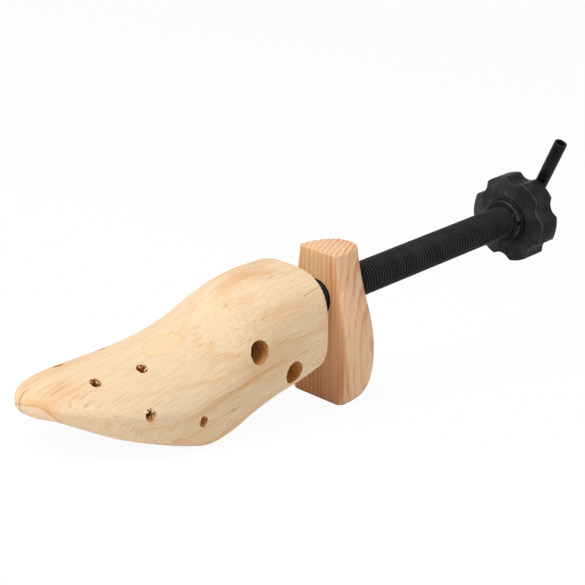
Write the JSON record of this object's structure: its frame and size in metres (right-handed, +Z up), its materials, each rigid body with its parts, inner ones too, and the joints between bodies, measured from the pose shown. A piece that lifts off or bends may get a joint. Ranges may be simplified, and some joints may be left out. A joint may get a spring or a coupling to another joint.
{
  "type": "shoe stretcher",
  "caption": "Two-way shoe stretcher: split wooden forepart and heel block on a threaded tube, with a lobed hand wheel for length and a lever for width.",
  "frame": {"origin": "on the ground under the middle of the bounding box, standing on the ball of the forepart and the front edge of the heel block", "axes": "+X lengthwise from the toe to the hand wheel, +Y to the wearer's right when facing the toe, +Z up"},
  "size_m": [0.4032, 0.0778, 0.1529],
  "materials": {
    "pale_pine": "sanded, unvarnished",
    "red_pine": "sanded, unvarnished",
    "black_thread": "satin black",
    "black_plastic": "matte black",
    "black_sleeve": "glossy black",
    "bush_brass": "turned",
    "plug_plastic": "dark brown",
    "plain_steel": "plain"
  },
  "bodies": {
    "core": {"keeper_plate": "plain_steel", "front_spring": "plain_steel", "rear_spring": "plain_steel"},
    "screw": {"threaded_tube": "black_thread", "tube_clip": "plain_steel", "rod_bushes": "bush_brass", "knob": "black_plastic", "lock_ring": "black_plastic"},
    "crank": {"spreader_rod": "plain_steel", "crank_washer": "plain_steel", "lever_sleeve": "black_sleeve"},
    "wedge": {"spreader_wedge": "plain_steel"},
    "left": {"forepart_left": "pale_pine", "left_ramp": "plain_steel", "left_ramp_screws": "plain_steel", "left_spring_plugs": "plug_plastic", "guide_pin": "plain_steel"},
    "right": {"forepart_right": "pale_pine", "right_ramp": "plain_steel", "right_ramp_screws": "plain_steel", "right_spring_plugs": "plug_plastic"},
    "heel": {"heel_block": "red_pine", "heel_nut": "black_plastic"}
  },
  "joints": [
    {"name": "heel_slide", "type": "slide", "parent": "core", "child": "heel", "axis": [0.98, 0, 0.1988], "range_m": [-0.021, 0.1248]},
    {"name": "knob_turn", "type": "hinge", "parent": "core", "child": "screw", "pos_m": [-0.01587, 0, 0.05752], "axis": [-0.98, 0, -0.1988], "range_deg": [-3150.1, 18720.1]},
    {"name": "left_spread", "type": "slide", "parent": "core", "child": "left", "axis": [0, -1, 0], "range_m": [0, 0.0051], "deforming": ["front_spring", "rear_spring"]},
    {"name": "right_spread", "type": "slide", "parent": "core", "child": "right", "axis": [0, 1, 0], "range_m": [0, 0.0051]},
    {"name": "wedge_slide", "type": "slide", "parent": "core", "child": "wedge", "axis": [0.98, 0, 0.1988], "range_m": [0, 0.01401]},
    {"name": "lever_turn", "type": "hinge", "parent": "core", "child": "crank", "pos_m": [-0.01587, 0, 0.05752], "axis": [-0.98, 0, -0.1988], "range_deg": [0, 5040]}
  ],
  "couplings": [
    {"joint": "knob_turn", "follows": "heel_slide", "rad_per_m": 2618},
    {"joint": "right_spread", "follows": "left_spread", "ratio": 1},
    {"joint": "wedge_slide", "follows": "left_spread", "ratio": 2.7475},
    {"joint": "lever_turn", "follows": "left_spread", "rad_per_m": 17263}
  ]
}
